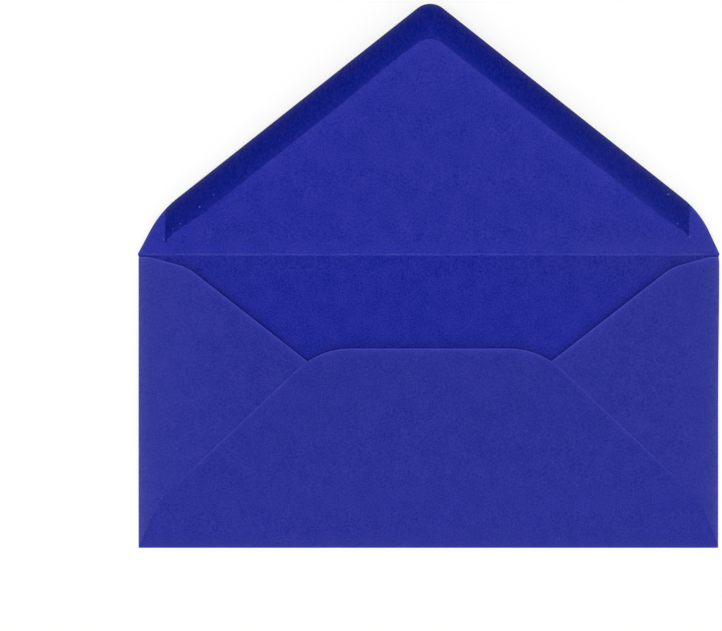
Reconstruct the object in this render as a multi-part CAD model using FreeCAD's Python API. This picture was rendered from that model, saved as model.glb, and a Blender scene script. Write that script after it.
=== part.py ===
import FreeCAD, Part
import math
import os

# Paper envelope, folded from one sheet, lying on its address face with its
# closing flap opened. All sizes are in millimetres and degrees.
# While it is drawn, X runs along the width, Y is 0 at the crease of the
# closing flap and grows towards the flap's tip, and Z is 0 under the sheet.

# Sheet and the levels of its layers
paper = 0.15
pocket_gap = 0.60
seam_film = 0.03
gum_film = 0.03

# Body
body_width = 220.0
body_height = 110.85
corner_tab = 0.15
corner_relief = 0.10

# Crease of the closing flap, a low bead pressed up on the inner face
crease_width = 0.80
crease_rise = 0.12

# Closing flap, up to the point where its two straight edges would meet
flap_point_rise = 97.5
flap_tip_radius = 7.8
flap_shoulder_inset = 7.7
flap_shoulder_rise = 16.6
flap_shoulder_radius = 37.0
flap_foot_reach = 0.34
flap_foot_rise = 0.60
flap_lift = 1.6

# Gummed band along the closing flap's straight edges. Each end narrows over
# its taper and is then drawn down into a short tail.
gum_width = 10.25
gum_end_inset = 10.6
gum_inner_radius = 10.0
gum_taper_length = 12.5
gum_taper_radius = 20.0
gum_narrowing = 1.9
gum_tail_width = 2.0
gum_tail_drop = 3.9
gum_tail_radius = 3.0

# Side flaps
side_lead = 3.6
side_lead_radius = 10.0
side_slope_angle = 15.0
side_shoulder_inset = 18.2
side_shoulder_radius = 19.0
side_edge_angle = 38.1
side_tip_radius = 12.0

# Bottom flap, glued over the side flaps
bottom_height = 75.6
bottom_shoulder_inset = 7.6
bottom_shoulder_rise = 18.35
bottom_shoulder_radius = 37.0
bottom_edge_angle = 43.4
bottom_crown_radius = 30.0

# Seam between the bottom flap and each side flap
seam_width = 10.0
seam_margin = 3.0

# Levels, bends and edge lines that follow from the sizes above
half_width = body_width / 2
flap_shoulder_x = half_width - flap_shoulder_inset
flap_edge_slope = (flap_point_rise - flap_shoulder_rise) / flap_shoulder_x
side_level = paper + pocket_gap
bottom_level = side_level + paper + seam_film
side_bend = (side_level + paper) / 2
bottom_bend = (bottom_level + paper) / 2
panel_edge = half_width - side_bend
panel_end = bottom_bend - body_height
side_fold_top = -crease_width / 2 - corner_relief
side_fold_end = panel_end + corner_tab + corner_relief


def slope(angle):
    """Rise for each millimetre along a line at this angle."""
    return math.tan(math.radians(angle))


def corner_arc(before, corner, after, radius):
    """Start, middle and end of the arc that rounds a corner between two points."""
    to_before = (before - corner).normalize()
    to_after = (after - corner).normalize()
    half_angle = to_before.getAngle(to_after) / 2
    bisector = (to_before + to_after).normalize()
    start = corner + to_before * (radius / math.tan(half_angle))
    middle = corner + bisector * (radius / math.sin(half_angle) - radius)
    end = corner + to_after * (radius / math.tan(half_angle))
    return start, middle, end


def outline_face(corners):
    """Flat face at z = 0 inside corners (x, y, radius), rounded where the radius isn't 0."""
    points = [FreeCAD.Vector(x, y, 0) for x, y, radius in corners]
    stretches = []
    for index, (x, y, radius) in enumerate(corners):
        corner = points[index]
        if radius == 0:
            stretches.append([corner])
        else:
            after = points[(index + 1) % len(points)]
            stretches.append(corner_arc(points[index - 1], corner, after, radius))
    edges = []
    for index, stretch in enumerate(stretches):
        if len(stretch) == 3:
            edges.append(Part.Arc(*stretch).toShape())
        following = stretches[(index + 1) % len(stretches)]
        edges.append(Part.LineSegment(stretch[-1], following[0]).toShape())
    return Part.Face(Part.Wire(edges))


def symmetric(right_corners):
    """Corners of a whole outline, from the corners of its right half."""
    left_corners = [(-x, y, radius) for x, y, radius in reversed(right_corners) if x != 0]
    return right_corners + left_corners


def plate(face, level, thickness):
    """Flat layer with the outline of a face, between two levels."""
    lifted = face.translated(FreeCAD.Vector(0, 0, level))
    return lifted.extrude(FreeCAD.Vector(0, 0, thickness))


def profile_strip(edges):
    """Sheet of one YZ profile, wider than the envelope, to be cut to its outline."""
    reach = body_width
    face = Part.Face(Part.Wire(edges)).translated(FreeCAD.Vector(-reach, 0, 0))
    return face.extrude(FreeCAD.Vector(2 * reach, 0, 0))


def cut_to_outline(strip, face):
    """The part of a strip that lies over or under a plan outline."""
    return strip.common(plate(face, -flap_point_rise, 2 * flap_point_rise))


def half_tube(outer_radius, length):
    """Bend of the sheet through half a turn, bulging to +X and running along +Y."""
    inner_radius = outer_radius - paper
    low = FreeCAD.Vector(0, 0, -1)
    out = FreeCAD.Vector(1, 0, 0)
    high = FreeCAD.Vector(0, 0, 1)
    outer_arc = Part.Arc(low * outer_radius, out * outer_radius, high * outer_radius)
    inner_arc = Part.Arc(high * inner_radius, out * inner_radius, low * inner_radius)
    edges = [
        outer_arc.toShape(),
        Part.LineSegment(high * outer_radius, high * inner_radius).toShape(),
        inner_arc.toShape(),
        Part.LineSegment(low * inner_radius, low * outer_radius).toShape(),
    ]
    return Part.Face(Part.Wire(edges)).extrude(FreeCAD.Vector(0, length, 0))


def on_flap(along, above):
    """Point of the YZ profile: along the flap from its crease, above its lower face."""
    lift = math.radians(flap_lift)
    y = crease_width / 2 + along * math.cos(lift) - above * math.sin(lift)
    z = along * math.sin(lift) + above * math.cos(lift)
    return FreeCAD.Vector(0, y, z)


def opened_outline():
    """Plan of the front panel and the opened flap, with a tab at each bottom corner."""
    right_corners = [
        (half_width, panel_end, 0),
        (half_width, panel_end + corner_tab, 0),
        (panel_edge, panel_end + corner_tab, 0),
        (panel_edge, -crease_width / 2, 0),
        (half_width, -crease_width / 2, 0),
        (half_width + flap_foot_reach, flap_foot_rise, 0),
        (flap_shoulder_x, flap_shoulder_rise, flap_shoulder_radius),
        (0, flap_point_rise, flap_tip_radius),
    ]
    return outline_face(symmetric(right_corners))


def front_and_flap():
    """Front panel, crease and opened closing flap."""
    crease_half = crease_width / 2
    up = FreeCAD.Vector(0, 0, paper)
    panel_low = FreeCAD.Vector(0, panel_end, 0)
    crease_low = FreeCAD.Vector(0, -crease_half, 0)
    crest_low = FreeCAD.Vector(0, 0, crease_rise)
    flap_low = on_flap(0, 0)
    tip_low = on_flap(flap_point_rise, 0)
    tip_high = on_flap(flap_point_rise, paper)
    flap_high = on_flap(0, paper)
    edges = [
        Part.LineSegment(panel_low, crease_low).toShape(),
        Part.Arc(crease_low, crest_low, flap_low).toShape(),
        Part.LineSegment(flap_low, tip_low).toShape(),
        Part.LineSegment(tip_low, tip_high).toShape(),
        Part.LineSegment(tip_high, flap_high).toShape(),
        Part.Arc(flap_high, crest_low + up, crease_low + up).toShape(),
        Part.LineSegment(crease_low + up, panel_low + up).toShape(),
        Part.LineSegment(panel_low + up, panel_low).toShape(),
    ]
    return cut_to_outline(profile_strip(edges), opened_outline())


def side_flap_face(side):
    """Plan of one side flap; side is 1 on the right and -1 on the left."""
    middle = (side_fold_top + side_fold_end) / 2
    shoulder_drop = (side_shoulder_inset - side_lead) * slope(side_slope_angle)
    shoulder_y = side_fold_top - shoulder_drop
    tip_inset = side_shoulder_inset + (shoulder_y - middle) / slope(side_edge_angle)
    upper = [
        (panel_edge, side_fold_top, 0),
        (half_width - side_lead, side_fold_top, side_lead_radius),
        (half_width - side_shoulder_inset, shoulder_y, side_shoulder_radius),
    ]
    tip = [(half_width - tip_inset, middle, side_tip_radius)]
    lower = [(x, 2 * middle - y, radius) for x, y, radius in reversed(upper)]
    return outline_face([(side * x, y, radius) for x, y, radius in upper + tip + lower])


def side_fold(side):
    """Bend between the front panel and one side flap."""
    bend = half_tube(side_bend, side_fold_top - side_fold_end)
    if side < 0:
        bend = bend.mirror(FreeCAD.Vector(0, 0, 0), FreeCAD.Vector(1, 0, 0))
    return bend.translated(FreeCAD.Vector(side * panel_edge, side_fold_end, side_bend))


def bottom_flap_face():
    """Plan of the bottom flap, from its fold to its rounded crown."""
    crown_rise = bottom_height - bottom_shoulder_rise
    crown_inset = bottom_shoulder_inset + crown_rise / slope(bottom_edge_angle)
    shoulder_y = bottom_shoulder_rise - body_height
    crown_y = bottom_height - body_height
    corners = [
        (half_width, panel_end, 0),
        (half_width - bottom_shoulder_inset, shoulder_y, bottom_shoulder_radius),
        (half_width - crown_inset, crown_y, bottom_crown_radius),
    ]
    return outline_face(symmetric(corners))


def bottom_fold():
    """Bend between the front panel and the bottom flap."""
    bend = half_tube(bottom_bend, body_width)
    bend.rotate(FreeCAD.Vector(0, 0, 0), FreeCAD.Vector(0, 0, 1), -90)
    return bend.translated(FreeCAD.Vector(-half_width, panel_end, bottom_bend))


def envelope_sheet():
    """The whole folded sheet as one solid."""
    pieces = [bottom_fold(), plate(bottom_flap_face(), bottom_level, paper)]
    for side in (1, -1):
        pieces.append(side_fold(side))
        pieces.append(plate(side_flap_face(side), side_level, paper))
    return front_and_flap().multiFuse(pieces).removeSplitter()


def bare_paper_face():
    """Plan of the closing flap's bare paper, from under the gum's point down past the crease."""
    point_rise = flap_point_rise - gum_width * math.hypot(1, flap_edge_slope)
    gum_end = half_width - gum_end_inset
    taper_x = gum_end - gum_taper_length
    tail_x = gum_end - gum_tail_width
    tail_rise = point_rise - tail_x * flap_edge_slope + gum_narrowing
    right_corners = [
        (gum_end + gum_tail_width, -body_height, 0),
        (gum_end + gum_tail_width, tail_rise - 2 * gum_tail_drop, 0),
        (tail_x, tail_rise, gum_tail_radius),
        (taper_x, point_rise - taper_x * flap_edge_slope, gum_taper_radius),
        (0, point_rise, gum_inner_radius),
    ]
    return outline_face(symmetric(right_corners))


def flap_gum():
    """Film of gum on the closing flap's inner face, along its two straight edges."""
    gum_end = half_width - gum_end_inset
    span_corners = [(gum_end, -body_height, 0), (gum_end, flap_point_rise, 0)]
    band = opened_outline().common(outline_face(symmetric(span_corners)))
    band = band.cut(bare_paper_face())
    film = Part.makePolygon([
        on_flap(0, paper),
        on_flap(flap_point_rise, paper),
        on_flap(flap_point_rise, paper + gum_film),
        on_flap(0, paper + gum_film),
        on_flap(0, paper),
    ])
    return cut_to_outline(profile_strip(film.Edges), band)


def seam_glue(side):
    """Film of glue that holds the bottom flap down on one side flap."""
    edge = math.radians(bottom_edge_angle)
    outer_drop = seam_margin / math.cos(edge)
    inner_drop = (seam_margin + seam_width) / math.cos(edge)
    outer = bottom_flap_face().translated(FreeCAD.Vector(0, -outer_drop, 0))
    inner = bottom_flap_face().translated(FreeCAD.Vector(0, -inner_drop, 0))
    covered = side_flap_face(side).makeOffset2D(-seam_margin)
    band = outer.common(covered).cut(inner)
    return plate(band, side_level + paper, seam_film)


nodes = {
    "envelope_sheet": envelope_sheet(),
    "flap_gum": flap_gum(),
    "seam_glue_left": seam_glue(-1),
    "seam_glue_right": seam_glue(1),
}

# The origin is under the middle of the opened envelope
box = nodes["envelope_sheet"].BoundBox
to_origin = FreeCAD.Vector(-box.Center.x, -box.Center.y, -box.ZMin)

os.makedirs("parts", exist_ok=True)
for name, shape in nodes.items():
    placed = shape.translated(to_origin)
    placed.exportStep("parts/" + name + ".step")
    print(name, len(placed.Solids), placed.isValid(), round(placed.Volume, 3), placed.BoundBox)
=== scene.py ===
import math

import bpy
import numpy as np
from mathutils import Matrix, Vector, geometry, noise


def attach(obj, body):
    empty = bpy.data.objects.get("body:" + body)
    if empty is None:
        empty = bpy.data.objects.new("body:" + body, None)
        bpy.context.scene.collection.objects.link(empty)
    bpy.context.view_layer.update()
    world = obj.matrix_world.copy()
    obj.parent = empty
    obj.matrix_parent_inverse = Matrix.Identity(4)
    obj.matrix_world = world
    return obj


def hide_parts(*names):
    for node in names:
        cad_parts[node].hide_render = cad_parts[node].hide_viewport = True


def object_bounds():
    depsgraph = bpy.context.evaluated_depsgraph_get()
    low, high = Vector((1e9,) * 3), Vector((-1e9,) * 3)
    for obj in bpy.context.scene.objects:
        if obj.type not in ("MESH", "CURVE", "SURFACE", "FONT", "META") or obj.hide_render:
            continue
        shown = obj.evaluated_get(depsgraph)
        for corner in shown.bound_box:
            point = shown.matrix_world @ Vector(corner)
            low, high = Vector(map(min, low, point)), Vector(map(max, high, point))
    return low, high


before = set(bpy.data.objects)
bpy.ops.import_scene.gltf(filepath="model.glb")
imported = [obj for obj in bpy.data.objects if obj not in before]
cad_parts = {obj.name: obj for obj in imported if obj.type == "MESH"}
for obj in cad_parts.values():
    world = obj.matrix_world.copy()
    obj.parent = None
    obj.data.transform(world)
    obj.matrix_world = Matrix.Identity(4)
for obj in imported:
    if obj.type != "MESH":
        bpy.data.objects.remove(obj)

cad_low, cad_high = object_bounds()
MM = 0.001

# Envelope sizes in millimetres. X runs along the width, and Y is 0 at the
# crease of the closing flap and grows towards the flap's tip.
PAPER = 0.15
POCKET_GAP = 0.60
FOLD_GAP = 0.06
SEAM_FILM = 0.03
GUM_FILM = 0.03
BODY_WIDTH = 220.0
BODY_HEIGHT = 110.85
CORNER_TAB = 0.15
CORNER_RELIEF = 0.10
CREASE_WIDTH = 0.80

FLAP_POINT_RISE = 97.5
FLAP_TIP_RADIUS = 7.8
FLAP_SHOULDER_INSET = 7.7
FLAP_SHOULDER_RISE = 16.6
FLAP_SHOULDER_RADIUS = 37.0
FLAP_FOOT_REACH = 0.34
FLAP_FOOT_RISE = 0.60

SIDE_LEAD = 3.6
SIDE_LEAD_RADIUS = 10.0
SIDE_SLOPE_ANGLE = 15.0
SIDE_SHOULDER_INSET = 18.2
SIDE_SHOULDER_RADIUS = 19.0
SIDE_EDGE_ANGLE = 38.1
SIDE_TIP_RADIUS = 12.0

BOTTOM_HEIGHT = 75.6
BOTTOM_SHOULDER_INSET = 7.6
BOTTOM_SHOULDER_RISE = 18.35
BOTTOM_SHOULDER_RADIUS = 37.0
BOTTOM_EDGE_ANGLE = 43.4
BOTTOM_CROWN_RADIUS = 30.0

GUM_WIDTH = 10.45
GUM_END_INSET = 10.7
GUM_OFFSET = -0.9
GUM_INNER_RADIUS = 8.0
GUM_TAPER_LENGTH = 12.5
GUM_TAPER_RADIUS = 20.0
GUM_NARROWING = 1.3
GUM_TAIL_WIDTH = 2.2
GUM_TAIL_DROP = 2.5
GUM_TAIL_RADIUS = 3.0
GUM_RAGGED = 0.55
GUM_WIDER = 0.16
GUM_NARROWER = 0.40
GUM_RAGGED_LENGTH = 1.1
SEAM_WIDTH = 10.0
SEAM_MARGIN = 3.0

# How the paper lies: both panels rise from the crease, the body as a low
# arch, the pocket opens from its folds, and the cut edges curl up a little.
# The sheet was folded a little askew, so its flaps lie off to the right.
FLAP_LIFT = math.radians(1.6)
FLAP_CURL = 0.50
FLAP_CURL_REACH = 3.0
GUM_RIDGE = 0.35
GUM_RIDGE_REACH = 8.0
PANEL_ARCH = 0.45
PANEL_CURL = 0.17
PANEL_CURL_REACH = 2.5
SIDE_PINCH = 16.0
BOTTOM_PINCH = 30.0
TOP_PINCH = 22.0
RIPPLE = 0.10
RIPPLE_LENGTH = 70.0
SIDE_CURL = 0.06
SIDE_CURL_REACH = 0.9
CROWN_CURL = 0.05
CROWN_CURL_REACH = 1.0
THROAT_LIFT = 0.25
FLAP_SHIFT = 0.55
FLAP_SHIFT_REACH = 30.0
SIDE_SHIFT = 0.30
BOTTOM_SHIFT = 0.40
FOLD_SHIFT_REACH = 10.0
RIGHT_OUT = 0.23
RIGHT_IN = 0.19
RIGHT_TURN = 60.0
EDGE_BEVEL = 0.35
SEAM_BEVEL = 0.75
BEVEL_REACH = 0.35
SEAM_PRESS = 0.06
SEAM_PRESS_REACH = 0.8

# Places that follow from the sizes
HALF_WIDTH = BODY_WIDTH / 2
SIDE_BEND = (PAPER + FOLD_GAP) / 2
BOTTOM_BEND = (2 * PAPER + FOLD_GAP + SEAM_FILM) / 2
BEND_STEPS = 8
SIDE_BEND_LENGTH = math.pi * SIDE_BEND
BOTTOM_BEND_LENGTH = math.pi * BOTTOM_BEND
PANEL_EDGE = HALF_WIDTH - SIDE_BEND - PAPER / 2
PANEL_END = BOTTOM_BEND + PAPER / 2 - BODY_HEIGHT
SIDE_FOLD_TOP = -CREASE_WIDTH / 2 - CORNER_RELIEF
SIDE_FOLD_END = PANEL_END + CORNER_TAB + CORNER_RELIEF
FLAP_SHOULDER_X = HALF_WIDTH - FLAP_SHOULDER_INSET
FLAP_EDGE_SLOPE = (FLAP_POINT_RISE - FLAP_SHOULDER_RISE) / FLAP_SHOULDER_X

# The crease's place in the frame
CREASE_Y = cad_low.y / MM + BODY_HEIGHT


def slope(angle):
    return math.tan(math.radians(angle))


def ease(value):
    """0 to 1, rising at once and levelling off."""
    kept = np.clip(value, 0, 1)
    return 1 - (1 - kept) ** 2


def smooth(value):
    """0 to 1, level at both ends."""
    kept = np.clip(value, 0, 1)
    return kept * kept * (3 - 2 * kept)


# Outlines

def rounded(corners, step):
    """Points along a closed outline of corners (x, y, radius), at most a step apart."""
    points = [Vector((x, y)) for x, y, radius in corners]
    stretches = []
    for index, (x, y, radius) in enumerate(corners):
        corner = points[index]
        if radius == 0:
            stretches.append([corner])
            continue
        to_before = (points[index - 1] - corner).normalized()
        to_after = (points[(index + 1) % len(points)] - corner).normalized()
        half = to_before.angle(to_after) / 2
        centre = corner + (to_before + to_after).normalized() * radius / math.sin(half)
        start = corner + to_before * radius / math.tan(half) - centre
        turn = start.angle_signed(corner + to_after * radius / math.tan(half) - centre)
        count = max(4, math.ceil(abs(turn) * radius / step))
        stretches.append([centre + turned(start, -turn * k / count) for k in range(count + 1)])
    outline = []
    for index, stretch in enumerate(stretches):
        outline += stretch
        end = stretches[(index + 1) % len(stretches)][0]
        count = max(1, math.ceil((end - stretch[-1]).length / step))
        outline += [stretch[-1].lerp(end, k / count) for k in range(1, count)]
    return outline


def turned(vector, angle):
    """A plane vector turned anticlockwise."""
    cosine, sine = math.cos(angle), math.sin(angle)
    return Vector((vector.x * cosine - vector.y * sine, vector.x * sine + vector.y * cosine))


def symmetric(right_corners):
    left_corners = [(-x, y, radius) for x, y, radius in reversed(right_corners) if x != 0]
    return right_corners + left_corners


def side_flap_corners():
    """Corners of the right side flap as it lies folded, from the bottom of its fold to the top."""
    middle = (SIDE_FOLD_TOP + SIDE_FOLD_END) / 2
    shoulder_y = SIDE_FOLD_TOP - (SIDE_SHOULDER_INSET - SIDE_LEAD) * slope(SIDE_SLOPE_ANGLE)
    tip_inset = SIDE_SHOULDER_INSET + (shoulder_y - middle) / slope(SIDE_EDGE_ANGLE)
    upper = [
        (HALF_WIDTH - SIDE_SHOULDER_INSET, shoulder_y, SIDE_SHOULDER_RADIUS),
        (HALF_WIDTH - SIDE_LEAD, SIDE_FOLD_TOP, SIDE_LEAD_RADIUS),
        (PANEL_EDGE, SIDE_FOLD_TOP, 0),
    ]
    lower = [(x, 2 * middle - y, radius) for x, y, radius in reversed(upper)]
    return lower + [(HALF_WIDTH - tip_inset, middle, SIDE_TIP_RADIUS)] + upper


def bottom_flap_corners():
    """Right half of the bottom flap's corners as it lies folded, from its crown to its fold."""
    crown_rise = BOTTOM_HEIGHT - BOTTOM_SHOULDER_RISE
    crown_inset = BOTTOM_SHOULDER_INSET + crown_rise / slope(BOTTOM_EDGE_ANGLE)
    shoulder_y = BOTTOM_SHOULDER_RISE - BODY_HEIGHT
    return [
        (HALF_WIDTH - crown_inset, BOTTOM_HEIGHT - BODY_HEIGHT, BOTTOM_CROWN_RADIUS),
        (HALF_WIDTH - BOTTOM_SHOULDER_INSET, shoulder_y, BOTTOM_SHOULDER_RADIUS),
        (HALF_WIDTH, PANEL_END, 0),
    ]


def blank_corners():
    """Corners of the whole sheet laid flat, with the side and bottom flaps unfolded."""
    bend = [k / BEND_STEPS for k in range(1, BEND_STEPS)]
    bottom = [(x, 2 * PANEL_END - BOTTOM_BEND_LENGTH - y, radius) for x, y, radius in bottom_flap_corners()]
    side = [(2 * PANEL_EDGE + SIDE_BEND_LENGTH - x, y, radius) for x, y, radius in side_flap_corners()]
    right = bottom + [(HALF_WIDTH, PANEL_END - BOTTOM_BEND_LENGTH * (1 - share), 0) for share in bend] + [
        (HALF_WIDTH, PANEL_END, 0),
        (HALF_WIDTH, PANEL_END + CORNER_TAB, 0),
        (PANEL_EDGE, PANEL_END + CORNER_TAB, 0),
        (PANEL_EDGE, SIDE_FOLD_END, 0),
    ] + [(PANEL_EDGE + SIDE_BEND_LENGTH * share, SIDE_FOLD_END, 0) for share in bend] + side + [
        (PANEL_EDGE + SIDE_BEND_LENGTH * (1 - share), SIDE_FOLD_TOP, 0) for share in bend
    ] + [
        (PANEL_EDGE, SIDE_FOLD_TOP, 0),
        (PANEL_EDGE, -CREASE_WIDTH / 2, 0),
        (HALF_WIDTH, -CREASE_WIDTH / 2, 0),
        (HALF_WIDTH + FLAP_FOOT_REACH, FLAP_FOOT_RISE, 0),
        (FLAP_SHOULDER_X, FLAP_SHOULDER_RISE, FLAP_SHOULDER_RADIUS),
        (0, FLAP_POINT_RISE, FLAP_TIP_RADIUS),
    ]
    return symmetric(right)


# Triangles inside an outline

def distance_to_outline(points, outline):
    """Distance of each point from a closed outline."""
    starts = np.array([(p.x, p.y) for p in outline])
    along = np.roll(starts, -1, axis=0) - starts
    nearest = np.full(len(points), 1e9)
    for start, run in zip(starts, along):
        share = np.clip(((points - start) @ run) / (run @ run), 0, 1)
        offset = points - start - share[:, None] * run
        nearest = np.minimum(nearest, np.hypot(offset[:, 0], offset[:, 1]))
    return nearest


def inside_outline(points, outline):
    """Whether each point lies inside a closed outline."""
    corners = np.array([(p.x, p.y) for p in outline])
    following = np.roll(corners, -1, axis=0)
    inside = np.zeros(len(points), bool)
    for (x0, y0), (x1, y1) in zip(corners, following):
        if y0 == y1:
            continue
        between = (points[:, 1] > min(y0, y1)) & (points[:, 1] <= max(y0, y1))
        crossing = x0 + (points[:, 1] - y0) * (x1 - x0) / (y1 - y0)
        inside ^= between & (points[:, 0] < crossing)
    return inside


def inset_rows(outline, insets):
    """Rows of points inside an outline, at each distance from it."""
    rows = []
    count = len(outline)
    for index, point in enumerate(outline):
        run = (outline[(index + 1) % count] - outline[index - 1]).normalized()
        inward = Vector((-run.y, run.x))
        rows += [point + inward * inset for inset in insets]
    return np.array([(p.x, p.y) for p in rows])


def triangles(outlines, inner_points, kept):
    """Vertices and triangles along outlines and through inner points, where the middles are kept."""
    vectors = []
    edges = []
    for outline in outlines:
        first = len(vectors)
        vectors += [Vector(point) for point in outline]
        edges += [(k, k + 1) for k in range(first, len(vectors) - 1)] + [(len(vectors) - 1, first)]
    vectors += [Vector(point) for point in inner_points]
    found, _, faces, _, _, _ = geometry.delaunay_2d_cdt(vectors, edges, [], 0, 1e-4)
    points = np.array([(p.x, p.y) for p in found])
    corners = np.array(faces)
    chosen = corners[kept(points[corners].mean(axis=1))]
    used, compact = np.unique(chosen, return_inverse=True)
    return points[used], [tuple(face) for face in compact.reshape(-1, 3).tolist()]


def steps(*spans):
    """Sorted coordinates through spans of (start, end, step)."""
    values = set()
    for start, end, step in spans:
        count = max(1, round((end - start) / step))
        values |= {round(start + (end - start) * k / count, 4) for k in range(count + 1)}
    return sorted(values)


# The folded form

def ripple(x, y):
    """Slow waves of the paper, the same for every layer, from 0 up."""
    waves = [noise.noise(Vector((a / RIPPLE_LENGTH, b / RIPPLE_LENGTH, 0.5))) for a, b in zip(x, y)]
    return RIPPLE * (0.5 + 0.5 * np.array(waves))


def pocket_gap(x, y):
    """Clear height of the pocket, which closes towards its three folds and the crease."""
    from_side = ease((PANEL_EDGE - np.abs(x)) / SIDE_PINCH)
    from_bottom = smooth((y - PANEL_END) / BOTTOM_PINCH)
    from_crease = ease((2 - y) / TOP_PINCH)
    return FOLD_GAP + (POCKET_GAP - FOLD_GAP) * from_side * from_bottom * from_crease


def flap_rise(y, from_rim):
    """Height of the closing flap over its crease, with the ridge that the dried gum draws up."""
    above = np.clip(y, 0, None)
    curl = FLAP_CURL * (1 - np.exp(-above / FLAP_CURL_REACH))
    ridge = GUM_RIDGE * np.exp(-(((from_rim - 0.6 * GUM_WIDTH) / GUM_RIDGE_REACH) ** 2))
    return above * math.tan(FLAP_LIFT) + curl + ridge * smooth(above / 25)


def panel_rise(y):
    """Height of the body's layers over the crease: a low arch down to the bottom fold."""
    below = np.clip(-y, 0, BODY_HEIGHT)
    curl = PANEL_CURL * (1 - np.exp(-below / PANEL_CURL_REACH)) * (1 - below / BODY_HEIGHT)
    return PANEL_ARCH * np.sin(math.pi * below / BODY_HEIGHT) + curl


def base_height(x, y, from_rim):
    """Middle of the front panel and the closing flap."""
    return PAPER / 2 + ripple(x, y) + flap_rise(y, from_rim) + panel_rise(y)


def throat_lift(x, y):
    """How far a side flap's free edge stands off the front panel."""
    inset = HALF_WIDTH - np.abs(x)
    edge_y = SIDE_FOLD_TOP - (inset - SIDE_LEAD) * slope(SIDE_EDGE_ANGLE)
    along = smooth((inset - 4) / 16) * (1 - smooth((inset - 38) / 20))
    return THROAT_LIFT * along * np.exp(-np.clip(edge_y - y, 0, None) / 9) * (y > -50)


def edge_curl(height, reach, from_rim):
    """Rise of a cut edge that curls up."""
    return height * np.exp(-from_rim / reach)


def over_throat(x, y):
    """1 where the bottom flap's crown bridges the throat between the side flaps, fading to 0."""
    return (1 - smooth((np.abs(x) - 38) / 8)) * (y > -50)


def right_lean(x, y):
    """How far the right fold runs off square: out below the crease, and in further down."""
    lean = RIGHT_OUT - (RIGHT_IN + RIGHT_OUT) * smooth(-y / RIGHT_TURN)
    return lean * smooth(-y / 3) * smooth(x / HALF_WIDTH)


def clear_of_bottom_flap(x, y):
    """1 where a side flap lies open to view, fading to 0 where the bottom flap covers it."""
    cover = rounded(symmetric(bottom_flap_corners()), 2.0)
    points = np.column_stack([x, y])
    return ~inside_outline(points, cover) * smooth(distance_to_outline(points, cover) / 3)


def folded(points, from_rim):
    """Places of the flat sheet's points once it is folded, in millimetres."""
    u, v = points[:, 0], points[:, 1]
    side = np.sign(u)
    x, y = u.copy(), v.copy()
    stack = np.zeros(len(u))

    past_side = np.abs(u) - PANEL_EDGE
    on_side = (past_side > 0) & (v >= SIDE_FOLD_END - 1e-3) & (v <= SIDE_FOLD_TOP + 1e-3)
    turn = np.clip(past_side / SIDE_BEND, 0, math.pi)
    flat_run = np.clip(past_side - SIDE_BEND_LENGTH, 0, None)
    folded_x = PANEL_EDGE + SIDE_BEND * np.sin(turn) - flat_run
    x = np.where(on_side, side * folded_x, x)

    past_bottom = PANEL_END - v
    on_bottom = past_bottom > 0
    bottom_turn = np.clip(past_bottom / BOTTOM_BEND, 0, math.pi)
    bottom_run = np.clip(past_bottom - BOTTOM_BEND_LENGTH, 0, None)
    y = np.where(on_bottom, PANEL_END - BOTTOM_BEND * np.sin(bottom_turn) + bottom_run, y)

    opening = pocket_gap(x, y) - FOLD_GAP
    on_side_flap = on_side & (turn >= math.pi)
    on_bottom_flap = on_bottom & (bottom_turn >= math.pi)
    side_curl = edge_curl(SIDE_CURL, SIDE_CURL_REACH, from_rim) * clear_of_bottom_flap(x, y)
    crown_curl = edge_curl(CROWN_CURL, CROWN_CURL_REACH, from_rim) * over_throat(x, y)
    away_from_folds = smooth((HALF_WIDTH - np.abs(x)) / 4)
    stack = np.where(on_side, SIDE_BEND * (1 - np.cos(turn)), stack)
    stack = np.where(on_side_flap, stack + opening + throat_lift(x, y) + side_curl * away_from_folds, stack)
    stack = np.where(on_bottom, BOTTOM_BEND * (1 - np.cos(bottom_turn)), stack)
    pressed = edge_curl(SEAM_PRESS, SEAM_PRESS_REACH, from_rim) * (1 - over_throat(x, y))
    stack = np.where(on_bottom_flap, stack + opening + (crown_curl - pressed) * away_from_folds, stack)
    shifted = x + FLAP_SHIFT * ease(v / FLAP_SHIFT_REACH) + right_lean(x, y)
    shifted += np.where(on_side, SIDE_SHIFT * ease(flat_run / FOLD_SHIFT_REACH), 0)
    shifted += BOTTOM_SHIFT * ease(bottom_run / FOLD_SHIFT_REACH)
    return np.column_stack([shifted, y, base_height(x, y, from_rim) + stack])


# Meshes

def solid_sheet(name, middle, faces, thickness):
    """Closed mesh of a sheet: its inner face, its outer face and its cut rim, as slots 0, 1 and 2."""
    normals = vertex_normals(middle, faces) * np.reshape(thickness, (-1, 1)) / 2
    upper = middle + normals
    lower = middle - normals
    count = len(middle)
    edges = {}
    for a, b, c in faces:
        for edge in ((a, b), (b, c), (c, a)):
            edges[edge] = edges.get(edge, 0) + 1
    rim = [edge for edge in edges if edge[::-1] not in edges]
    every = list(faces)
    every += [(c + count, b + count, a + count) for a, b, c in faces]
    every += [(b, a, a + count, b + count) for a, b in rim]
    places = np.vstack([upper, lower]) + (0, CREASE_Y, 0)
    mesh = bpy.data.meshes.new(name)
    mesh.from_pydata([tuple(place * MM) for place in places], [], every)
    slots = [0] * len(faces) + [1] * len(faces) + [2] * len(rim)
    mesh.polygons.foreach_set("material_index", slots)
    mesh.validate()
    mesh.shade_smooth()
    mesh.set_sharp_from_angle(angle=math.radians(50))
    piece = bpy.data.objects.new(name, mesh)
    bpy.context.scene.collection.objects.link(piece)
    return piece


def vertex_normals(places, faces):
    """Normal of each vertex, from the triangles round it by their area."""
    corners = np.array(faces)
    a, b, c = (places[corners[:, k]] for k in range(3))
    face_normals = np.cross(b - a, c - a)
    normals = np.zeros_like(places)
    for k in range(3):
        np.add.at(normals, corners[:, k], face_normals)
    return normals / np.linalg.norm(normals, axis=1)[:, None]


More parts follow.
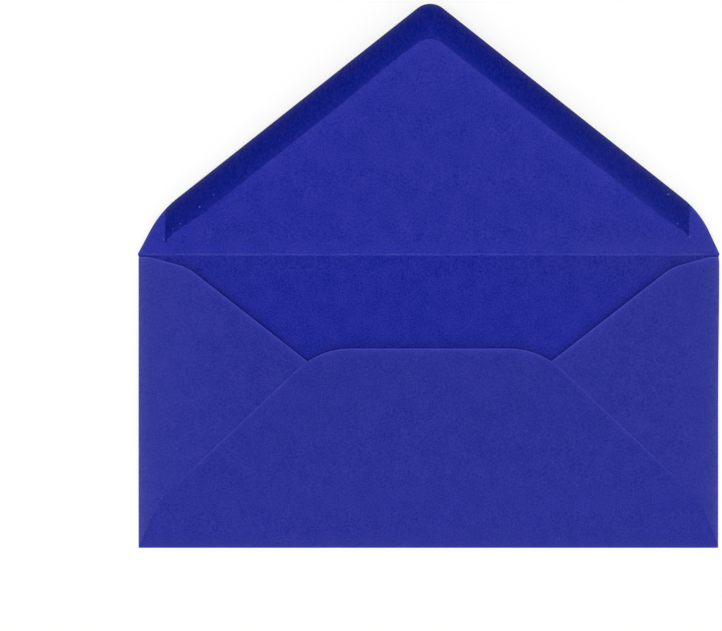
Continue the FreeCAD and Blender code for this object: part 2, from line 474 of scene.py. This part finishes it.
def set_values(piece, name, values):
    """Gives a sheet's mesh a number at each point, the same on both of its faces."""
    attribute = piece.data.attributes.new(name, "FLOAT", "POINT")
    attribute.data.foreach_set("value", np.tile(values, 2).astype(np.float32))


def lattice(across, up, outline, clearance):
    """Grid points and rows along the rim that lie clear of an outline."""
    grid = np.array([(u, v) for v in up for u in across])
    points = np.vstack([grid, inset_rows(outline, (0.4, 0.9, 1.7))])
    clear = inside_outline(points, outline) & (distance_to_outline(points, outline) > clearance)
    return points[clear]


def add_envelope_sheet():
    outline = rounded(blank_corners(), 2.0)
    fold_u = PANEL_EDGE + SIDE_BEND_LENGTH
    half_u = steps(
        (0, PANEL_EDGE - 6, 3.0), (PANEL_EDGE - 6, PANEL_EDGE, 1.0),
        (PANEL_EDGE, fold_u, SIDE_BEND_LENGTH / BEND_STEPS), (fold_u, fold_u + 6, 0.5), (fold_u + 6, fold_u + 82, 2.0),
    )
    fold_v = PANEL_END - BOTTOM_BEND_LENGTH
    rows_v = steps(
        (fold_v - 76, fold_v - 6, 2.0), (fold_v - 6, fold_v, 0.5), (fold_v, PANEL_END, BOTTOM_BEND_LENGTH / BEND_STEPS),
        (PANEL_END, PANEL_END + 6, 1.0), (PANEL_END + 6, -8, 3.0),
        (-8, -1.2, 0.8), (-1.2, 1.2, 0.15), (1.2, 10, 0.8), (10, FLAP_POINT_RISE, 2.0),
    )
    across = [-u for u in half_u[:0:-1]] + half_u
    inner = lattice(across, rows_v, outline, 0.25)
    points, faces = triangles([outline], inner, lambda middles: inside_outline(middles, outline))
    from_rim = distance_to_outline(points, outline)
    places = folded(points, from_rim)
    at_seam = (points[:, 1] < PANEL_END) * (1 - over_throat(places[:, 0], places[:, 1]))
    bevel = EDGE_BEVEL + (SEAM_BEVEL - EDGE_BEVEL) * at_seam
    thickness = PAPER * (1 - bevel * np.exp(-from_rim / BEVEL_REACH))
    piece = solid_sheet("folded_sheet", places, faces, thickness)
    # Whitened fibres and dust, with painted sheen and a painted highlight.
    set_values(piece, "wear_and_sheen", sheet_wear_and_sheen(points, from_rim))
    # Painted light and painted highlights.
    set_values(piece, "painted_light", sheet_painted_light(points, from_rim, at_seam))
    # Painted shade.
    set_values(piece, "painted_shade", sheet_painted_shade(points))
    piece.data.materials.append(paper("paper_inside", INSIDE, INSIDE_CHANGE, INSIDE_VEIL))
    piece.data.materials.append(paper("paper_outside", OUTSIDE, OUTSIDE_CHANGE, OUTSIDE_VEIL))
    piece.data.materials.append(cut_edge())
    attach(piece, "root")
    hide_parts("envelope_sheet")


def beside_panel(points):
    """Whether each point lies on the front panel's height, below the crease and above the bottom fold."""
    return (points[:, 1] >= SIDE_FOLD_END - 1e-3) & (points[:, 1] <= SIDE_FOLD_TOP + 1e-3)


def waver(places, length):
    """Slow change along a line, from about -0.5 to 0.5."""
    return np.array([noise.noise(Vector((place / length, 0.5, 0.5))) for place in places])


def gum_side(v, from_rim):
    """1 on the bare paper along the gum's inner edge, fading to 0."""
    return np.exp(-(((from_rim - GUM_WIDTH - 0.9) / 1.6) ** 2)) * smooth((v - 20) / 15)


def sheet_wear_and_sheen(points, from_rim):
    """How far the paper is mixed towards white: whitened fibres with a painted sheen by its folds, a painted sheen over
    the flap and growing towards the right, a lighter band beside the gum, a painted highlight along the crease, and
    dust along the flap's rim.
    """
    u, v = points[:, 0], points[:, 1]
    from_side = np.where(beside_panel(points), np.abs(np.abs(u) - PANEL_EDGE - SIDE_BEND_LENGTH / 2), 99)
    from_bottom = np.abs(v - PANEL_END + BOTTOM_BEND_LENGTH / 2)
    # Whitened fibres beside the side and bottom folds, with a painted sheen on them.
    wear_and_sheen = 0.032 * np.exp(-from_side / 1.3) + 0.014 * np.exp(-from_side / 4) + 0.005 * np.exp(-from_side / 14)
    wear_and_sheen += 0.015 * np.exp(-from_bottom / 1.9)
    on_panel = beside_panel(points) & (np.abs(u) < PANEL_EDGE)
    # A painted sheen that grows towards the right, over the front panel and on the right side flap.
    wear_and_sheen += np.where(on_panel, 0.0021 * smooth((u - 10) / 45), 0)
    wear_and_sheen += np.where(beside_panel(points), 0.0020 * smooth((u - PANEL_EDGE) / 4), 0)
    # Dust along the flap's rim, and a painted sheen over the whole flap that grows to the right and to its tip.
    bare_rim = 0.028 * np.exp(-from_rim / 0.8) + 0.010 * np.exp(-from_rim / 3)
    wear_and_sheen += np.where(v > 0.5, bare_rim, 0) + (0.0050 + 0.000025 * u + 0.00002 * v) * smooth(v / 2)
    # A lighter band beside the gum.
    wear_and_sheen += 0.0022 * gum_side(v, from_rim)
    # A painted highlight along the crease.
    line = np.exp(-(((v - 0.4 - 0.2 * waver(u, 9)) / 0.34) ** 2))
    return wear_and_sheen + 0.019 * (1 + waver(u, 5)) * line


def sheet_painted_light(points, from_rim, at_seam):
    """Painted light: highlights along the cut edges, light over the crease, the flap and, from the left, the left side
    flap, and a lighter band beside the gum.
    """
    u, v = points[:, 0], points[:, 1]
    on_side_flap = beside_panel(points) & (np.abs(u) > PANEL_EDGE)
    on_left = on_side_flap & (u < 0)
    on_bottom_flap = v < PANEL_END
    # Painted highlights along the cut edges of the side flaps and the bottom flap, the seam's fading towards its ends.
    seam_end = smooth((HALF_WIDTH - 5 - np.abs(u)) / 18)
    at_rim = np.where(on_side_flap, 0.36, np.where(on_bottom_flap, 0.36 * seam_end, 0.0))
    beside_rim = np.where(on_side_flap, 0.10 - 0.04 * on_left, np.where(on_bottom_flap, 0.09 - 0.07 * at_seam, 0.0))
    rim = at_rim * np.exp(-from_rim / 0.4) + beside_rim * np.exp(-from_rim / 1.5)
    # Painted light just above the crease, a lighter band beside the gum, painted light from the left on the left side
    # flap, and painted light over the whole flap.
    over_crease = np.where(v > 0, 0.045 * np.exp(-v / 1.8), 0)
    by_gum = 0.045 * gum_side(v, from_rim)
    left_flap = np.where(on_left, 0.042 * np.exp(-(((u + 124) / 18) ** 2)), 0)
    return rim + over_crease + by_gum + left_flap + 0.006 * smooth(v / 2)


def sheet_painted_shade(points):
    """Painted shade along the crease, most at its right end."""
    u, v = points[:, 0], points[:, 1]
    along = 0.07 * smooth((np.abs(u) - 10) / 80) + 0.10 * smooth((u - 10) / 95)
    open_face = (v > 0) | (np.abs(u) < PANEL_EDGE)
    return np.where(open_face, along * np.exp(-((v / 10) ** 2)), 0)


def add_flap_gum():
    """Dried gum along the flap's two straight edges, each end drawn down into a narrow tail."""
    sheet = rounded(blank_corners(), 1.0)
    end_x = HALF_WIDTH - GUM_END_INSET
    right_x = end_x + GUM_OFFSET
    point_rise = FLAP_POINT_RISE - GUM_WIDTH * math.hypot(1, FLAP_EDGE_SLOPE)
    taper_x = end_x - GUM_TAPER_LENGTH
    tail_x = end_x - GUM_TAIL_WIDTH
    tail_rise = point_rise - tail_x * FLAP_EDGE_SLOPE + GUM_NARROWING
    bare = rounded(symmetric([
        (0, point_rise, GUM_INNER_RADIUS),
        (taper_x, point_rise - taper_x * FLAP_EDGE_SLOPE, GUM_TAPER_RADIUS),
        (tail_x, tail_rise, GUM_TAIL_RADIUS),
        (end_x + GUM_TAIL_WIDTH, tail_rise - 2 * GUM_TAIL_DROP, 0),
        (end_x + GUM_TAIL_WIDTH, -9, 0),
    ]), 0.5)
    bare = [ragged(point) for point in bare]
    left_x = GUM_OFFSET - end_x
    span = rounded([(left_x, -7, 0), (right_x, -7, 0), (right_x, 99, 0), (left_x, 99, 0)], 0.7)

    def kept(middles):
        gummed = inside_outline(middles, sheet) & inside_outline(middles, span)
        return gummed & ~inside_outline(middles, bare) & (middles[:, 1] > 0)

    grid = np.array([(u, v) for v in np.arange(6, 97, 2.0) for u in np.arange(-98, 99, 2.0)])
    rim_rows = inset_rows(sheet, (0.4, 0.9, 1.7, 3.0))
    by_flap = (rim_rows[:, 1] > 6) & (distance_to_outline(rim_rows, sheet) > 0.35)
    points, faces = triangles([sheet, bare, span], np.vstack([grid, rim_rows[by_flap]]), kept)
    from_rim = distance_to_outline(points, sheet)
    middle = folded(points, from_rim)
    middle += vertex_normals(middle, faces) * (PAPER + GUM_FILM) / 2
    piece = solid_sheet("dried_flap_gum", middle, faces, GUM_FILM)
    set_values(piece, "from_rim", from_rim)
    u = points[:, 0]
    # Wear at the flap's edge, and a painted sheen that grows towards the right.
    set_values(piece, "wear_and_sheen", 0.045 * np.exp(-from_rim) + 0.0036 * smooth((u - 20) / 55))
    margin = np.clip((from_rim - GUM_WIDTH + 2.5) / 2.5, 0, 1)
    set_values(piece, "margin", (0.45 + 0.35 * smooth(u / 20 + 0.5)) * margin)
    piece.data.materials.append(gum())
    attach(piece, "root")
    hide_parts("flap_gum")


def ragged(point):
    """A point of the gum's inner edge, moved off its line: most left of its point and at its ends."""
    by_point = math.exp(-(((point.x + 15) / 10) ** 2))
    by_end = float(smooth((abs(point.x) - 70) / 15))
    reach = GUM_RAGGED * (0.2 + 0.8 * by_point + 0.6 * by_end)
    wider = GUM_WIDER * float(smooth((-point.x - 20) / 15)) - GUM_NARROWER * by_point
    place = Vector((point.x / GUM_RAGGED_LENGTH, point.y / GUM_RAGGED_LENGTH, 0.5))
    return point + reach * noise.noise_vector(place).xy + wider * Vector((0.62, -0.78))


def add_gum_crumbs():
    """Specks of dried gum by the ends of the gummed band and at its point."""
    specks = [
        (-94.5, 12.1, 0.26), (-97.3, 10.2, 0.24), (-87.3, 18.5, 0.36), (-100.6, 6.1, 0.34), (-82.1, 23.1, 0.26),
        (90.3, 23.2, 0.36), (94.0, 12.1, 0.26), (98.8, 7.2, 0.34), (2.8, 82.4, 0.16),
    ]
    sheet = rounded(blank_corners(), 2.0)
    flat = np.array([(u, v) for u, v, radius in specks])
    places = folded(flat, distance_to_outline(flat, sheet))
    corners, faces = [], []
    for (x, y, z), (_, _, radius) in zip(places, specks):
        first = len(corners)
        level = z + PAPER / 2 + GUM_FILM
        ring = [2 * math.pi * k / 10 for k in range(10)]
        corners += [(x, y, level + 0.07), (x, y, level - 0.02)]
        corners += [(x + radius * math.cos(a), y + 1.25 * radius * math.sin(a), level - 0.01) for a in ring]
        corners += [(x + 0.6 * radius * math.cos(a), y + 0.75 * radius * math.sin(a), level + 0.05) for a in ring]
        for k in range(10):
            low, after = first + 2 + k, first + 2 + (k + 1) % 10
            faces += [(first, low + 10, after + 10), (low + 10, low, after, after + 10), (first + 1, after, low)]
    mesh = bpy.data.meshes.new("gum_crumbs")
    mesh.from_pydata([(x * MM, (y + CREASE_Y) * MM, z * MM) for x, y, z in corners], [], faces)
    mesh.shade_smooth()
    piece = bpy.data.objects.new("gum_crumbs", mesh)
    bpy.context.scene.collection.objects.link(piece)
    mesh.materials.append(crumb())
    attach(piece, "root")


def add_seam_glue(name, node, side):
    """Dried glue between a side flap and the bottom flap, a band along the bottom flap's cut edge."""
    sheet = rounded(blank_corners(), 2.0)
    drop = 1 / math.cos(math.radians(BOTTOM_EDGE_ANGLE))
    bottom = rounded(symmetric(bottom_flap_corners()), 2.0)
    cover = rounded([(side * x, y, radius) for x, y, radius in side_flap_corners()][::side], 2.0)
    upper = unfolded_bottom([(x, y - SEAM_MARGIN * drop) for x, y in bottom])
    lower = unfolded_bottom([(x, y - (SEAM_MARGIN + SEAM_WIDTH) * drop) for x, y in bottom])
    held = unfolded_bottom(inset_rows(cover, (SEAM_MARGIN,)))

    def kept(middles):
        band = inside_outline(middles, upper) & ~inside_outline(middles, lower)
        return band & inside_outline(middles, held) & (middles[:, 0] * side > 0)

    grid = unfolded_bottom([(side * u, v) for v in range(-106, -36, 2) for u in range(38, 106, 2)])
    points, faces = triangles([upper, lower, held], grid, kept)
    middle = folded(points, distance_to_outline(points, sheet))
    middle += vertex_normals(middle, faces) * (PAPER + SEAM_FILM) / 2
    piece = solid_sheet(name, middle, faces, SEAM_FILM)
    piece.data.materials.append(seam_glue())
    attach(piece, "root")
    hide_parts(node)


def unfolded_bottom(points):
    """Where points of the folded bottom flap lie on the flat sheet."""
    return [Vector((x, 2 * PANEL_END - BOTTOM_BEND_LENGTH - y)) for x, y in points]


# Materials

INSIDE = (0.0123, 0.0193, 0.299)
INSIDE_CHANGE = (0.0123, 0.0125, 0.036)
INSIDE_VEIL = 0.06
OUTSIDE = (0.0216, 0.0287, 0.290)
OUTSIDE_CHANGE = (0.0120, 0.0125, 0.028)
OUTSIDE_VEIL = 0.045
VEIL = (0.13, 0.10, 0.75)
# Whitish colour for whitened fibres, dust, painted sheen and a painted highlight.
WORN_AND_SHEEN = (0.75, 0.76, 0.85)
GUM_MARGIN = (0.0110, 0.0165, 0.246)
GUM_THIN = (0.0020, 0.0103, 0.226)
GUM_THICK = (0.0012, 0.0069, 0.158)
GUM_CHANGE = (0.0030, 0.0050, 0.020)


def new_material(name):
    material = bpy.data.materials.new(name)
    material.use_nodes = True
    return material, material.node_tree.nodes, material.node_tree.links


def grain(nodes, links, size, detail, stretch=(1, 1, 1)):
    """Noise with spots of a size in millimetres."""
    place = nodes.new("ShaderNodeTexCoord")
    mapping = nodes.new("ShaderNodeMapping")
    mapping.inputs["Scale"].default_value = stretch
    spots = nodes.new("ShaderNodeTexNoise")
    spots.inputs["Scale"].default_value = 1 / (size * MM)
    spots.inputs["Detail"].default_value = detail
    links.new(place.outputs["Object"], mapping.inputs["Vector"])
    links.new(mapping.outputs["Vector"], spots.inputs["Vector"])
    return spots.outputs["Fac"]


def ranged(nodes, links, value, start, end, low, high):
    """A value carried from one range to another."""
    node = nodes.new("ShaderNodeMapRange")
    for socket, number in (("From Min", start), ("From Max", end), ("To Min", low), ("To Max", high)):
        node.inputs[socket].default_value = number
    links.new(value, node.inputs["Value"])
    return node.outputs["Result"]


def product(nodes, links, first, second):
    node = nodes.new("ShaderNodeMath")
    node.operation = "MULTIPLY"
    links.new(first, node.inputs[0])
    links.new(second, node.inputs[1])
    return node.outputs["Value"]


def blend(nodes, links, factor, first, second):
    """A colour between two others, each given as a colour or as an output."""
    node = nodes.new("ShaderNodeMix")
    node.data_type = "RGBA"
    node.clamp_factor = True
    links.new(factor, node.inputs["Factor"])
    colour_sockets = [socket for socket in node.inputs if socket.type == "RGBA"]
    for socket, colour in zip(colour_sockets, (first, second)):
        if isinstance(colour, tuple):
            socket.default_value = (*colour, 1)
        else:
            links.new(colour, socket)
    return next(socket for socket in node.outputs if socket.type == "RGBA")


def attribute(nodes, name):
    node = nodes.new("ShaderNodeAttribute")
    node.attribute_name = name
    return node.outputs["Fac"]


def add_relief(nodes, links, height, depth):
    """Fine relief under a shader, with its depth in millimetres."""
    bump = nodes.new("ShaderNodeBump")
    bump.inputs["Distance"].default_value = depth * MM
    links.new(height, bump.inputs["Height"])
    links.new(bump.outputs["Normal"], nodes["Principled BSDF"].inputs["Normal"])


def mottled(nodes, links, size, colour, change):
    """A colour that varies from spot to spot, and the spots themselves."""
    spots = grain(nodes, links, size, 2.0)
    dark = tuple(max(0, level - part) for level, part in zip(colour, change))
    light = tuple(level + part for level, part in zip(colour, change))
    return spots, blend(nodes, links, ranged(nodes, links, spots, 0.25, 0.75, 0, 1), dark, light)


def paper(name, colour, change, veil):
    """Deep blue dyed paper, whitened by its folds under a painted sheen, with painted highlights along its cut edges
    and crease, painted light over the flap and painted shade along the crease.
    """
    material, nodes, links = new_material(name)
    shader = nodes["Principled BSDF"]
    shader.inputs["Roughness"].default_value = 0.85
    shader.inputs["Specular IOR Level"].default_value = 0.05
    fine, spotted = mottled(nodes, links, 0.6, colour, change)
    clouds = ranged(nodes, links, grain(nodes, links, 7.0, 4.0), 0.35, 0.75, 0, veil)
    dyed = blend(nodes, links, clouds, spotted, VEIL)
    # Whitened fibres, dust and painted sheen, in patches, towards white.
    patchiness = ranged(nodes, links, grain(nodes, links, 1.4, 3.0), 0.3, 0.7, 0.7, 1.3)
    worn_and_sheen = product(nodes, links, attribute(nodes, "wear_and_sheen"), patchiness)
    # Painted shade, towards a duller darker blue.
    shaded = blend(nodes, links, attribute(nodes, "painted_shade"), dyed, (0.032, 0.037, 0.16))
    # Painted light and highlights, towards a light blue.
    lighter = blend(nodes, links, attribute(nodes, "painted_light"), shaded, (0.10, 0.107, 0.74))
    links.new(blend(nodes, links, worn_and_sheen, lighter, WORN_AND_SHEEN), shader.inputs["Base Color"])
    add_relief(nodes, links, fine, 0.015)
    return material


def cut_edge():
    """The paper's section, a little lighter than its faces."""
    material, nodes, links = new_material("paper_cut_edge")
    shader = nodes["Principled BSDF"]
    shader.inputs["Roughness"].default_value = 0.9
    shader.inputs["Specular IOR Level"].default_value = 0.2
    fibres = grain(nodes, links, 0.12, 2.0)
    colour = blend(nodes, links, fibres, (0.030, 0.036, 0.34), (0.070, 0.078, 0.48))
    links.new(colour, shader.inputs["Base Color"])
    return material


def gum():
    """Dried gum: darker and smoother than the paper, thicker and then worn towards the flap's edge, with a painted
    sheen towards the right.
    """
    material, nodes, links = new_material("dried_gum")
    shader = nodes["Principled BSDF"]
    shader.inputs["Roughness"].default_value = 0.42
    shader.inputs["Specular IOR Level"].default_value = 0.025
    from_rim = attribute(nodes, "from_rim")
    inward = ranged(nodes, links, from_rim, 0, GUM_WIDTH, 0, 1)
    spots, thin = mottled(nodes, links, 0.8, GUM_THIN, GUM_CHANGE)
    _, thick = mottled(nodes, links, 0.8, GUM_THICK, GUM_CHANGE)
    film = blend(nodes, links, inward, thick, thin)
    film = blend(nodes, links, attribute(nodes, "margin"), film, GUM_MARGIN)
    streaks = grain(nodes, links, 0.8, 3.0, (1, 0.55, 1))
    veil = ranged(nodes, links, streaks, 0.42, 0.72, 0, 0.20)
    film = blend(nodes, links, veil, film, (0.042, 0.038, 0.29))
    # Wear and painted sheen, towards white.
    links.new(blend(nodes, links, attribute(nodes, "wear_and_sheen"), film, WORN_AND_SHEEN), shader.inputs["Base Color"])
    add_relief(nodes, links, spots, 0.010)
    return material


def crumb():
    """A bare speck of gum, paler than the film."""
    material, nodes, links = new_material("gum_crumb")
    shader = nodes["Principled BSDF"]
    shader.inputs["Roughness"].default_value = 0.5
    shader.inputs["Specular IOR Level"].default_value = 0.1
    tint = grain(nodes, links, 0.4, 2.0)
    links.new(blend(nodes, links, tint, (0.04, 0.045, 0.25), (0.11, 0.11, 0.35)), shader.inputs["Base Color"])
    return material


def seam_glue():
    """Dried seam glue, soaked into the paper on both of its sides."""
    material, nodes, links = new_material("dried_seam_glue")
    shader = nodes["Principled BSDF"]
    shader.inputs["Roughness"].default_value = 0.5
    shader.inputs["Specular IOR Level"].default_value = 0.2
    spots = grain(nodes, links, 1.5, 3.0)
    colour = blend(nodes, links, spots, (0.006, 0.012, 0.20), (0.014, 0.020, 0.26))
    links.new(colour, shader.inputs["Base Color"])
    return material


# Stage

def seen_white(nodes, links):
    """1 for the rays that are shown a white background: the camera's, and reflected and passed ones."""
    path = nodes.new("ShaderNodeLightPath")
    seen = path.outputs["Is Camera Ray"]
    for ray in ("Is Glossy Ray", "Is Transmission Ray"):
        either = nodes.new("ShaderNodeMath")
        either.operation = "MAXIMUM"
        links.new(seen, either.inputs[0])
        links.new(path.outputs[ray], either.inputs[1])
        seen = either.outputs["Value"]
    return seen


def add_floor():
    """White to the camera, with a trace of the envelope's own shadow left on it."""
    mesh = bpy.data.meshes.new("floor")
    reach = 6.0
    level = -0.00002
    corners = [(-reach, -reach, level), (reach, -reach, level), (reach, reach, level), (-reach, reach, level)]
    mesh.from_pydata(corners, [], [(0, 1, 2, 3)])
    floor = bpy.data.objects.new("floor", mesh)
    bpy.context.scene.collection.objects.link(floor)
    material, nodes, links = new_material("floor")
    shader = nodes["Principled BSDF"]
    shader.inputs["Roughness"].default_value = 1.0
    shader.inputs["Specular IOR Level"].default_value = 0.0
    seen = seen_white(nodes, links)
    links.new(blend(nodes, links, seen, (0.8, 0.8, 0.8), (1, 1, 1)), shader.inputs["Base Color"])
    white = nodes.new("ShaderNodeEmission")
    white.inputs["Color"].default_value = (1, 1, 1, 1)
    white.inputs["Strength"].default_value = 1.0
    share = ranged(nodes, links, seen, 0, 1, 0, 0.8)
    layers = nodes.new("ShaderNodeMixShader")
    links.new(share, layers.inputs["Fac"])
    links.new(shader.outputs["BSDF"], layers.inputs[1])
    links.new(white.outputs["Emission"], layers.inputs[2])
    links.new(layers.outputs["Shader"], nodes["Material Output"].inputs["Surface"])
    mesh.materials.append(material)


def add_sun(name, azimuth, elevation, level, spread):
    """A soft far lamp that lights a level surface to a share of full brightness."""
    lamp = bpy.data.lights.new(name, "SUN")
    lamp.energy = level * math.pi / math.sin(math.radians(elevation))
    lamp.angle = math.radians(spread)
    sun = bpy.data.objects.new(name, lamp)
    across = math.cos(math.radians(elevation))
    towards = Vector((
        across * math.sin(math.radians(azimuth)),
        across * math.cos(math.radians(azimuth)),
        math.sin(math.radians(elevation)),
    ))
    sun.rotation_mode = "QUATERNION"
    sun.rotation_quaternion = towards.to_track_quat("Z", "Y")
    bpy.context.scene.collection.objects.link(sun)


def add_world(level, lean):
    """An even sky that grows brighter towards the bottom of the page, and white to the camera."""
    world = bpy.data.worlds.new("studio")
    bpy.context.scene.world = world
    world.use_nodes = True
    nodes, links = world.node_tree.nodes, world.node_tree.links
    background = nodes["Background"]
    background.inputs["Color"].default_value = (1, 1, 1, 1)
    direction = nodes.new("ShaderNodeSeparateXYZ")
    links.new(nodes.new("ShaderNodeTexCoord").outputs["Generated"], direction.inputs["Vector"])
    graded = ranged(nodes, links, direction.outputs["Y"], -1, 1, level * (1 + lean), level * (1 - lean))
    mix = nodes.new("ShaderNodeMix")
    mix.inputs["B"].default_value = 1.0
    links.new(graded, mix.inputs["A"])
    links.new(seen_white(nodes, links), mix.inputs["Factor"])
    links.new(mix.outputs["Result"], background.inputs["Strength"])


def add_camera():
    """Looks straight down, framed as the photograph: 722 by 631 pixels at 2.6364 pixels a millimetre."""
    frame_width, frame_height = 722, 631
    pixels_per_mm = 580 / BODY_WIDTH
    middle_x, crease_row = 428.6, 255.6
    lens = 300.0
    data = bpy.data.cameras.new("camera")
    data.lens = lens
    camera = bpy.data.objects.new("camera", data)
    x = (frame_width / 2 - middle_x) / pixels_per_mm
    y = CREASE_Y + (crease_row - frame_height / 2) / pixels_per_mm
    height = frame_width / pixels_per_mm * lens / data.sensor_width
    camera.location = (x * MM, y * MM, height * MM)
    bpy.context.scene.collection.objects.link(camera)
    bpy.context.scene.camera = camera


bpy.context.scene.view_settings.view_transform = "Standard"
add_envelope_sheet()
add_flap_gum()
add_gum_crumbs()
add_seam_glue("dried_seam_glue_left", "seam_glue_left", -1)
add_seam_glue("dried_seam_glue_right", "seam_glue_right", 1)
add_floor()
add_world(0.56, 0.7)
add_sun("lamp_low", 180, 14, 0.13, 16)
add_sun("lamp_left", -90, 40, 0.18, 25)
add_sun("lamp_right", 90, 40, 0.14, 25)
add_camera()
